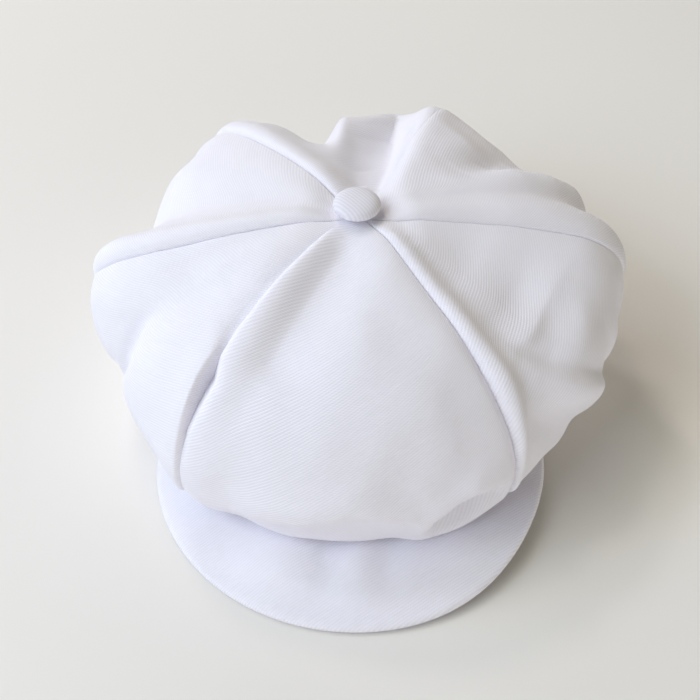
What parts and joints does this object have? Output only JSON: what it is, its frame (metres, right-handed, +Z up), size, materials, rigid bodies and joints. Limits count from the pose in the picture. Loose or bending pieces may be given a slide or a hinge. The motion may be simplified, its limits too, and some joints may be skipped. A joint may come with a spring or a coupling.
{
  "type": "baptism hat",
  "caption": "Child's white cotton-twill baker-boy cap with a full gored crown, covered button, stiff rounded peak and plain headband, for a baptism.",
  "frame": {"origin": "middle of the cap's box, on the surface that it rests on", "axes": "+Z up through the button, -Y towards the peak, +X to the right of a viewer who faces the peak"},
  "size_m": [0.2112, 0.2208, 0.1034],
  "materials": {
    "crown_twill": "matt white cotton twill",
    "button_twill": "matt white cotton twill, drawn tight over a button mould",
    "peak_twill": "matt white cotton twill over a stiff peak",
    "band_twill": "matt white cotton twill"
  },
  "bodies": {
    "root": {"panel_front": "crown_twill", "panel_front_left": "crown_twill", "panel_back_left": "crown_twill", "panel_back": "crown_twill", "panel_back_right": "crown_twill", "panel_front_right": "crown_twill", "button": "button_twill", "peak": "peak_twill", "headband": "band_twill"}
  },
  "joints": []
}
